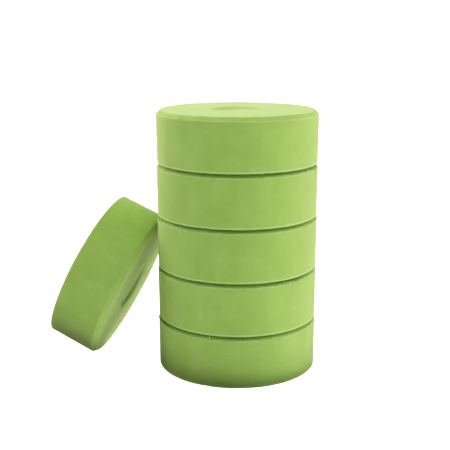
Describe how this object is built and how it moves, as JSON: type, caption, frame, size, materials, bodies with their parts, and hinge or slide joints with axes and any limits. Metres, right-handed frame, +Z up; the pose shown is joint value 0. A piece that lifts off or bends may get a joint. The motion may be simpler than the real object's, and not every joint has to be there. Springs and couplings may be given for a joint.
{
  "type": "floral foam brick set",
  "caption": "Round floral foam bricks with a bevelled upper edge and a shallow dish, stacked on each other, with one leaning against the stack.",
  "frame": {"origin": "centre of the lowest brick's flat underside, on the table", "axes": "+Z up along the stack's axis; the stack is seen from the front along +Y, and the leaning brick is on the -X side, a little towards the back"},
  "size_m": [0.2042, 0.1472, 0.195],
  "materials": {
    "floral_foam": "dry friable phenolic foam with very fine cells, quite matt, dusty at the edges"
  },
  "bodies": {
    "stack_brick_1": {"stack_brick_1": "floral_foam"},
    "stack_brick_2": {"stack_brick_2": "floral_foam"},
    "stack_brick_3": {"stack_brick_3": "floral_foam"},
    "stack_brick_4": {"stack_brick_4": "floral_foam"},
    "stack_brick_5": {"stack_brick_5": "floral_foam"},
    "leaning_brick": {"leaning_brick": "floral_foam"}
  },
  "joints": [
    {"name": "brick_2_lift", "type": "slide", "parent": "stack_brick_1", "child": "stack_brick_2", "axis": [0, 0, 1], "range_m": [0, 0.06]},
    {"name": "brick_3_lift", "type": "slide", "parent": "stack_brick_2", "child": "stack_brick_3", "axis": [0, 0, 1], "range_m": [0, 0.06]},
    {"name": "brick_4_lift", "type": "slide", "parent": "stack_brick_3", "child": "stack_brick_4", "axis": [0, 0, 1], "range_m": [0, 0.06]},
    {"name": "brick_5_lift", "type": "slide", "parent": "stack_brick_4", "child": "stack_brick_5", "axis": [0, 0, 1], "range_m": [0, 0.06]},
    {"name": "leaning_brick_tilt", "type": "hinge", "parent": "stack_brick_1", "child": "leaning_brick", "pos_m": [-0.11006, 0.02739, 0], "axis": [-0.2011, -0.9796, 0], "range_deg": [0, 25.5]}
  ]
}
